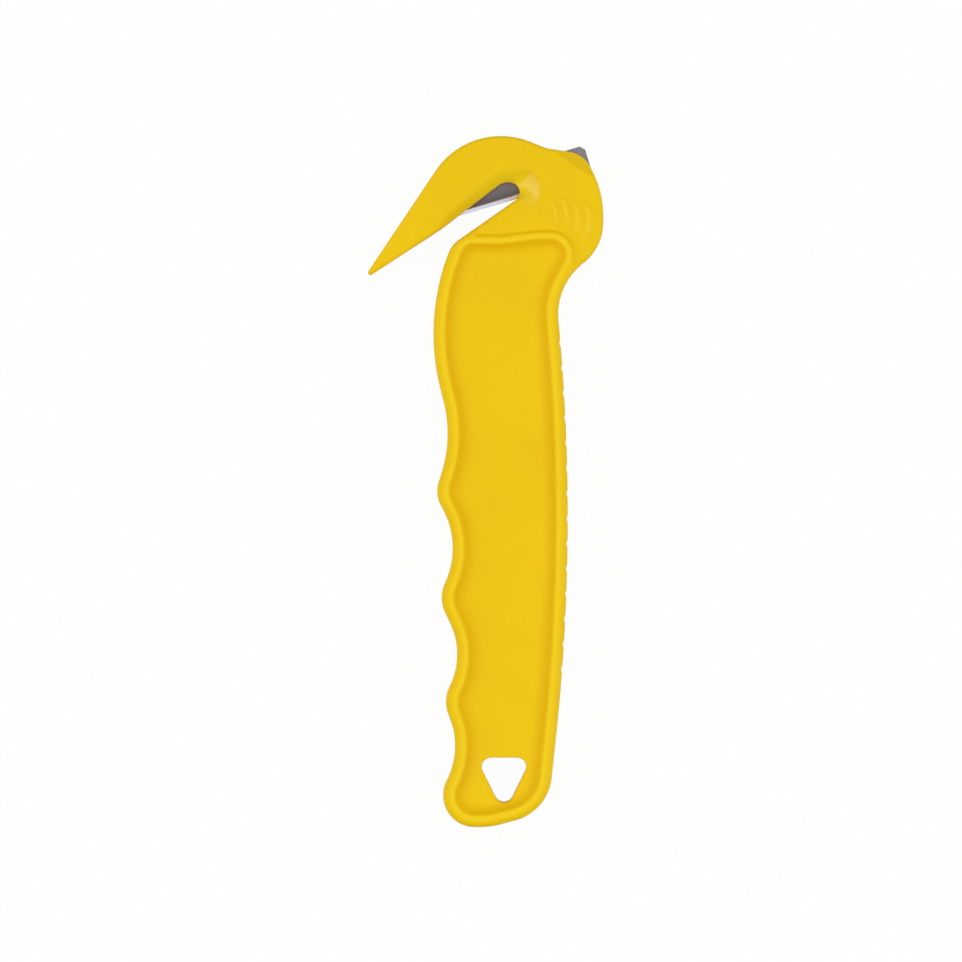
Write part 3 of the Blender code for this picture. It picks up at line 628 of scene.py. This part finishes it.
# One shell: the two patches with their walls and flats, turned over for the rear side
def shellMesh(name, side, material):
    half, n, m = net["columns"] // 2, net["edgeCount"], net["buttCount"]
    top = np.vstack((np.column_stack((nicked(grip).reshape(-1, 2), gripHeight)),
                     np.column_stack((head.reshape(-1, 2), headHeight))))
    gripIndex = np.arange(len(gripHeight)).reshape(grip.shape[:2])
    headIndex = np.arange(len(gripHeight), len(top)).reshape(head.shape[:2])
    rim = np.concatenate((headIndex[0, ::-1], headIndex[1:, 0],
                          gripIndex[half + 1:half + 2 * n + m, 0], headIndex[::-1, -1]))
    wall, holeWall = shellWalls(top[rim], top[gripIndex[half + n:half + n + m + 1, -1]])
    everything = np.vstack((top, wall.reshape(-1, 3), holeWall.reshape(-1, 3)))
    firstWall, firstHole = len(top), len(everything) - holeWall.size // 3
    faces = np.vstack((gridFaces(*grip.shape[:2]), gridFaces(*head.shape[:2], len(gripHeight)),
                       gridFaces(*wall.shape[:2], firstWall)[:, ::-1],
                       gridFaces(*holeWall.shape[:2], firstHole)))
    seam = np.arange(firstWall, firstHole).reshape(wall.shape[:2])[:-1, -1]
    holeSeam = np.arange(firstHole, len(everything)).reshape(holeWall.shape[:2])[:, -1]
    kept, faces, flats = weld(everything, faces, flatLoops(everything, seam, holeSeam))
    places = everything[kept]
    flats = [flat[::-1].tolist() for flat in flats]
    faces = faces.tolist() + flats
    if side < 0:
        faces = [face[::-1] for face in faces]
    piece = newMesh(name, inFrame(places[:, :2], places[:, 2] * side), faces, material)
    # the gloss mask and the painted light, painted highlight and painted shade masks go on as
    # attributes
    for label, mask in zip(("sleek", "funnelPaintedLight", "paintedHighlight", "paintedRecessShade"), masks):
        setAttribute(piece, label, np.append(mask, np.zeros(len(everything) - len(top)))[kept])
    return piece


# The blade: its start about the throat's centre, and its section as (in from the edge, out)
blade = {
    "start": (-11.20, -5.19), "angle": math.radians(16.6), "buried": 4.5, "reach": 31.8,
    "width": 7.48, "half": 0.25, "chamfer": 1.05, "bevel": 0.98, "hone": (0.82, 0.13),
    "edge": 0.03, "spineRound": 0.08, "sharp": math.radians(4),
    "steps": (160, 16), "sectionSteps": (5, 9), "cornerStep": 0.02,
    "heel": 2.2,                            # the body is darker this far from the bevel
    "brightEnd": (22.0, 25.0), "brightEndShare": 0.12,    # the far end is a little brighter
}


# A place at u along the edge and v across to the spine
def bladePlace(u, v):
    c, s = math.cos(blade["angle"]), math.sin(blade["angle"])
    start = throat + blade["start"]
    return np.stack((start[0] + u * c - v * s, start[1] + u * s + v * c), -1)


# The section runs round from edge to spine above and back below. Past the bevel it narrows
# where the far corner is cut off
def bladeMesh(name, material):
    b = blade
    onBevel, onBody = b["sectionSteps"]
    v = np.array([0, b["hone"][0], *np.linspace(b["hone"][0], b["bevel"], onBevel)[1:],
                  *np.linspace(b["bevel"] + b["cornerStep"], b["width"] - b["spineRound"], onBody),
                  b["width"]])
    z = np.interp(v, [0, b["hone"][0], b["bevel"], b["width"] - b["spineRound"], b["width"]],
                  [b["edge"], b["hone"][1], b["half"], b["half"], b["half"] - b["spineRound"]])
    ringV, ringZ = np.concatenate((v, v[::-1])), np.concatenate((z, -z[::-1]))
    end = b["reach"]
    u = np.concatenate((np.linspace(-b["buried"], end - b["chamfer"], b["steps"][0]),
                        np.linspace(end - b["chamfer"], end, b["steps"][1])[1:]))
    high = b["width"] - np.clip(u - (end - b["chamfer"]), 0, None)
    scale = (high - b["bevel"]) / (b["width"] - b["bevel"])
    acrossV = np.where(ringV > b["bevel"], b["bevel"] + (ringV - b["bevel"]) * scale[:, None], ringV)
    flat = bladePlace(np.broadcast_to(u[:, None], acrossV.shape), acrossV)
    grid = np.dstack((flat, np.broadcast_to(ringZ, acrossV.shape)))
    count = grid.shape[1]
    k = np.arange(grid.shape[0] * count).reshape(-1, count)
    after = np.roll(k, -1, 1)
    faces = np.stack((k[:-1], k[1:], after[1:], after[:-1]), -1).reshape(-1, 4).tolist()
    faces += [k[0].tolist(), k[-1][::-1].tolist()]
    places = grid.reshape(-1, 3)
    piece = newMesh(name, inFrame(places[:, :2], places[:, 2]), faces, material)
    piece.data.set_sharp_from_angle(angle=b["sharp"])
    # the far end is mixed a little towards the bevel's bright steel
    brightEnd = b["brightEndShare"] * smooth(u, *b["brightEnd"])[:, None]
    ground = np.maximum(ringV <= b["bevel"], brightEnd)
    setAttribute(piece, "ground", ground.ravel().astype(float))
    heel = 1 - smooth(acrossV, b["bevel"], b["bevel"] + b["heel"])
    setAttribute(piece, "heel", heel.ravel())
    return piece


# A node's inputs by name or order: a socket is joined, and a value is set
def join(tree, node, inputs):
    for key, value in inputs.items():
        if isinstance(value, bpy.types.NodeSocket):
            tree.links.new(value, node.inputs[key])
        else:
            node.inputs[key].default_value = value


def addNode(tree, kind, inputs, **settings):
    made = tree.nodes.new(kind)
    for key, value in settings.items():
        setattr(made, key, value)
    join(tree, made, inputs)
    return made


def calculate(tree, operation, *values):
    return addNode(tree, "ShaderNodeMath", dict(enumerate(values)), operation=operation).outputs[0]


def mixValues(tree, share, first, second):
    return addNode(tree, "ShaderNodeMix", {0: share, 2: first, 3: second}).outputs[0]


def mixColours(tree, share, first, second):
    mix = addNode(tree, "ShaderNodeMix", {0: share, 6: first, 7: second}, data_type="RGBA")
    return mix.outputs[2]


# A value moved from one span onto another, and held at its ends
def remap(tree, value, start=(0.0, 1.0), end=(0.0, 1.0)):
    inputs = {"Value": value, "From Min": start[0], "From Max": start[1], "To Min": end[0],
              "To Max": end[1]}
    return addNode(tree, "ShaderNodeMapRange", inputs).outputs["Result"]


def noiseAt(tree, place, scale, detail=2.0, roughness=0.5):
    inputs = {"Vector": place, "Scale": scale, "Detail": detail, "Roughness": roughness}
    return addNode(tree, "ShaderNodeTexNoise", inputs).outputs["Fac"]


def turnedPlace(tree, place, turn, scale):
    inputs = {"Vector": place, "Rotation": (0, 0, turn), "Scale": scale}
    return addNode(tree, "ShaderNodeMapping", inputs).outputs["Vector"]


def attribute(tree, name):
    return addNode(tree, "ShaderNodeAttribute", {}, attribute_name=name).outputs["Fac"]


def newGroup(name, inputs, outputs):
    group = bpy.data.node_groups.new(name, "ShaderNodeTree")
    for way, sockets in (("INPUT", inputs), ("OUTPUT", outputs)):
        for label, kind in sockets.items():
            group.interface.new_socket(label, in_out=way, socket_type="NodeSocket" + kind)
    return group, group.nodes.new("NodeGroupInput").outputs, group.nodes.new("NodeGroupOutput")


def placeGroup(tree, group, inputs):
    return addNode(tree, "ShaderNodeGroup", inputs, node_tree=group).outputs


# Handling marks: two crossed sets of stretched noise, kept where they peak, in patches
handlingLook = {
    "sets": ((0.6, 0.07), (-0.9, 0.1)),     # how far each is turned, and its scale lengthwise
    "peak": (0.62, 0.72), "patchScale": 60.0, "patch": (0.45, 0.7),
}


def handlingGroup():
    look = handlingLook
    group, given, out = newGroup("handlingMarks", {"Place": "Vector", "Scale": "Float",
                                                   "Cover": "Float"}, {"Mask": "Float"})
    masks = []
    for turn, lengthwise in look["sets"]:
        place = turnedPlace(group, given["Place"], turn, (lengthwise, 1.0, 1.0))
        masks.append(remap(group, noiseAt(group, place, given["Scale"]), look["peak"]))
    patches = noiseAt(group, given["Place"], look["patchScale"])
    patches = remap(group, patches, look["patch"], (0.0, given["Cover"]))
    both = calculate(group, "MAXIMUM", *masks)
    join(group, out, {"Mask": calculate(group, "MULTIPLY", both, patches)})
    return group


# Moulded skin: a fine even grain over slow cloudy change, as on satin ABS
skinLook = {
    "cloudScale": 45.0, "cloudDetail": 3.0, "cloud": (0.35, 0.65),
    "grainScale": 2600.0, "grainRoughness": 0.6,
}


def skinGroup():
    look = skinLook
    group, given, out = newGroup("mouldedSkin", {"Place": "Vector"},
                                 {"Cloud": "Float", "Grain": "Float"})
    cloud = noiseAt(group, given["Place"], look["cloudScale"], look["cloudDetail"])
    grain = noiseAt(group, given["Place"], look["grainScale"], roughness=look["grainRoughness"])
    join(group, out, {"Cloud": remap(group, cloud, look["cloud"]), "Grain": grain})
    return group


def newMaterial(name):
    material = bpy.data.materials.new(name)
    material.use_nodes = True
    tree = material.node_tree
    place = tree.nodes.new("ShaderNodeTexCoord").outputs["Object"]
    return material, tree, tree.nodes["Principled BSDF"], place


handling, skin = handlingGroup(), skinGroup()

# Yellow ABS: cloudy colour, with a painted highlight on the crest and the ridges' tops, a paler
# painted light in the funnel and a painted shade in the recess's corner, matt with a fine grain, and
# glossy in the funnel, where straps slide
plastic = {
    "colour": (0.868, 0.572, 0.001, 1), "deep": (0.848, 0.547, 0.0008, 1),
    # the first colour here is a painted highlight for the crest and the ridges' tops, the last a
    # paler painted light for the funnel
    "highlightPaint": (0.95, 0.66, 0.012, 1), "highlightPaintShare": 0.7, "funnelPaintedLight": (0.868, 0.655, 0.012, 1),
    # a darker painted shade colour for the recess's corner, and the roughness added there
    "paintedRecessShade": (0.83, 0.505, 0.0005, 1), "recessShadeRoughness": 0.3,
    "roughness": (0.46, 0.38), "specular": 0.12, "sleekCoat": 0.72, "sleekRoughness": 0.2,
    "markScale": 1100.0, "markCover": 0.35, "markRoughness": 0.12, "markDepth": -0.35,
    "bump": 0.5, "grainDepth": 0.000012,
}


def plasticMaterial():
    look = plastic
    material, tree, shader, place = newMaterial("yellowPlastic")
    moulded = placeGroup(tree, skin, {"Place": place})
    marks = placeGroup(tree, handling, {"Place": place, "Scale": look["markScale"],
                                        "Cover": look["markCover"]})["Mask"]
    paintedRecessShade = attribute(tree, "paintedRecessShade")
    highlightPaint = calculate(tree, "MULTIPLY", attribute(tree, "paintedHighlight"), look["highlightPaintShare"])
    colour = mixColours(tree, moulded["Cloud"], look["deep"], look["colour"])
    # painted shade in the recess's corner
    colour = mixColours(tree, paintedRecessShade, colour, look["paintedRecessShade"])
    # painted light in the funnel: a paler, less saturated yellow
    colour = mixColours(tree, attribute(tree, "funnelPaintedLight"), colour, look["funnelPaintedLight"])
    # painted highlight on the crest and the ridges' tops
    colour = mixColours(tree, highlightPaint, colour, look["highlightPaint"])
    rough = remap(tree, moulded["Cloud"], end=look["roughness"])
    rough = calculate(tree, "MULTIPLY_ADD", marks, look["markRoughness"], rough)
    rough = calculate(tree, "MULTIPLY_ADD", paintedRecessShade, look["recessShadeRoughness"], rough)
    polish = calculate(tree, "MULTIPLY", attribute(tree, "sleek"), look["sleekCoat"])
    height = calculate(tree, "MULTIPLY_ADD", marks, look["markDepth"], moulded["Grain"])
    bump = addNode(tree, "ShaderNodeBump", {"Height": height, "Strength": look["bump"],
                                            "Distance": look["grainDepth"]})
    join(tree, shader, {"Base Color": colour, "Roughness": rough, "Coat Weight": polish,
                        "Coat Roughness": look["sleekRoughness"],
                        "Specular IOR Level": look["specular"],
                        "Normal": bump.outputs["Normal"]})
    return material


# Blade steel: a dark rolled body with lengthwise lines, darkest beside the bevel, and a bright
# ground bevel with lines across it; the ground attribute says which
steel = {
    "body": (0.225, 0.19, 0.20, 1), "bodyDark": (0.165, 0.14, 0.15, 1),
    "heel": (0.125, 0.112, 0.122, 1),
    "ground": (0.82, 0.83, 0.99, 1), "groundDark": (0.68, 0.69, 0.85, 1),
    "roughness": (0.34, 0.5), "groundRoughness": 0.3,
    "lines": ((25.0, 900.0, 900.0), (1600.0, 60.0, 60.0)),  # along the body, across the bevel
    "lineScale": 5.0, "lineDetail": 3.0, "bump": 0.6, "lineDepth": 0.000006,
    "markScale": 1500.0, "markCover": 0.5, "markRoughness": 0.2,
}


def steelMaterial():
    look = steel
    material, tree, shader, place = newMaterial("bladeSteel")
    ground = attribute(tree, "ground")
    lines = [noiseAt(tree, turnedPlace(tree, place, -blade["angle"], scale), look["lineScale"],
                     look["lineDetail"]) for scale in look["lines"]]
    colour = mixColours(tree, lines[0], look["bodyDark"], look["body"])
    colour = mixColours(tree, attribute(tree, "heel"), colour, look["heel"])
    bright = mixColours(tree, lines[1], look["groundDark"], look["ground"])
    marks = placeGroup(tree, handling, {"Place": place, "Scale": look["markScale"],
                                        "Cover": look["markCover"]})["Mask"]
    rough = remap(tree, lines[0], end=look["roughness"])
    rough = calculate(tree, "MULTIPLY_ADD", marks, look["markRoughness"], rough)
    bump = addNode(tree, "ShaderNodeBump", {"Height": mixValues(tree, ground, *lines),
                                            "Strength": look["bump"],
                                            "Distance": look["lineDepth"]})
    join(tree, shader, {"Base Color": mixColours(tree, ground, colour, bright),
                        "Roughness": mixValues(tree, ground, rough, look["groundRoughness"]),
                        "Normal": bump.outputs["Normal"], "Metallic": 1.0})
    return material


yellowPlastic, bladeSteel = plasticMaterial(), steelMaterial()
frontShell = shellMesh("frontShell", 1, yellowPlastic)
rearShell = shellMesh("rearShell", -1, yellowPlastic)
bladeStrip = bladeMesh("bladeStrip", bladeSteel)
for piece, node, slot in ((frontShell, "front_half", "yellow_plastic"),
                          (rearShell, "rear_half", "yellow_plastic"),
                          (bladeStrip, "blade", "blade_steel")):
    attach(piece, "root")
    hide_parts(node)
print("pieces made")


studio = {
    "floorSize": 6.0, "floorColour": (0.86, 0.86, 0.86, 1), "glow": 0.96,
    "sky": [(0.0, 0.32), (0.35, 0.42), (0.55, 0.70), (0.82, 1.03), (0.93, 0.94), (1.0, 0.94)],
    "lean": (-0.04, 0.12, 0.0), "ends": 0.8,   # how much dimmer the sky is towards +Y and -Y
    "lamps": [  # place, size, watts
        ((-0.66, 0.20, 0.6), (0.6, 0.6), 1.54),
        ((0.68, -0.15, 0.6), (0.6, 0.6), 2.66),
        ((-0.74, -0.16, 0.27), (0.9, 0.25), 0.95),
    ],
    "target": (-0.00106, 0.00015, 0.006), "distance": 2.5, "view": 0.2228, "tilt": 0.004,
    "sensor": 36.0, "clip": (0.01, 20),
}


def makeFloor():
    half = studio["floorSize"] / 2
    mesh = bpy.data.meshes.new("floor")
    mesh.from_pydata([(-half, -half, 0), (half, -half, 0), (half, half, 0), (-half, half, 0)], [],
                     [(0, 1, 2, 3)])
    floor = bpy.data.objects.new("floor", mesh)
    bpy.context.scene.collection.objects.link(floor)
    material = bpy.data.materials.new("floorPaper")
    material.use_nodes = True
    tree = material.node_tree
    tree.nodes.clear()
    path = tree.nodes.new("ShaderNodeLightPath").outputs
    seen = calculate(tree, "MAXIMUM", path["Is Camera Ray"], path["Is Glossy Ray"])
    seen = calculate(tree, "MAXIMUM", seen, path["Is Transmission Ray"])
    share = calculate(tree, "MULTIPLY", seen, studio["glow"])
    paper = addNode(tree, "ShaderNodeBsdfDiffuse", {"Color": studio["floorColour"]})
    glow = addNode(tree, "ShaderNodeEmission", {"Strength": 1.0})
    mix = addNode(tree, "ShaderNodeMixShader", {0: share, 1: paper.outputs[0],
                                                2: glow.outputs[0]})
    addNode(tree, "ShaderNodeOutputMaterial", {"Surface": mix.outputs[0]})
    mesh.materials.append(material)


# A world that is dim at the horizon and bright overhead: the strength is a chain of straight
# runs over the height of the look, times 1 plus its lean to one side less a share of the
# look's Y squared
def makeWorld():
    world = bpy.data.worlds.new("studioWorld")
    bpy.context.scene.world = world
    world.use_nodes = True
    tree = world.node_tree
    way = tree.nodes.new("ShaderNodeTexCoord").outputs["Generated"]
    parts = addNode(tree, "ShaderNodeSeparateXYZ", {"Vector": way}).outputs
    level = addNode(tree, "ShaderNodeValToRGB", {"Fac": parts["Z"]})
    lean = addNode(tree, "ShaderNodeVectorMath", {0: way, 1: studio["lean"]},
                   operation="DOT_PRODUCT").outputs["Value"]
    bands = level.color_ramp.elements
    for height, strength in studio["sky"][1:-1]:
        bands.new(height)
    for band, (height, strength) in zip(bands, studio["sky"]):
        band.position, band.color = height, (strength, strength, strength, 1)
    square = calculate(tree, "MULTIPLY", parts["Y"], parts["Y"])
    dimmed = calculate(tree, "MULTIPLY_ADD", square, -studio["ends"], 1.0)
    leaned = calculate(tree, "ADD", lean, dimmed)
    strength = calculate(tree, "MULTIPLY", leaned, level.outputs["Color"])
    join(tree, tree.nodes["Background"], {"Strength": strength, "Color": (1, 1, 1, 1)})


def makeLamps():
    target = Vector(studio["target"])
    for i, (place, size, watts) in enumerate(studio["lamps"]):
        light = bpy.data.lights.new(f"lamp{i}", "AREA")
        light.shape = "RECTANGLE"
        light.size, light.size_y = size
        light.energy = watts
        lamp = bpy.data.objects.new(f"lamp{i}", light)
        lamp.location = place
        lamp.rotation_euler = (target - Vector(place)).to_track_quat("-Z", "Y").to_euler()
        bpy.context.scene.collection.objects.link(lamp)


def makeCamera():
    lens = bpy.data.cameras.new("camera")
    lens.sensor_width = studio["sensor"]
    lens.lens = lens.sensor_width * studio["distance"] / studio["view"]
    camera = bpy.data.objects.new("camera", lens)
    tilt = studio["tilt"]
    way = Vector((-math.sin(tilt), 0, math.cos(tilt)))
    camera.location = Vector(studio["target"]) + way * studio["distance"]
    camera.rotation_euler = (0, -tilt, 0)
    lens.clip_start, lens.clip_end = studio["clip"]
    bpy.context.scene.collection.objects.link(camera)
    bpy.context.scene.camera = camera


makeFloor()
makeWorld()
makeLamps()
makeCamera()
bpy.context.scene.view_settings.view_transform = "Standard"
print("studio made")
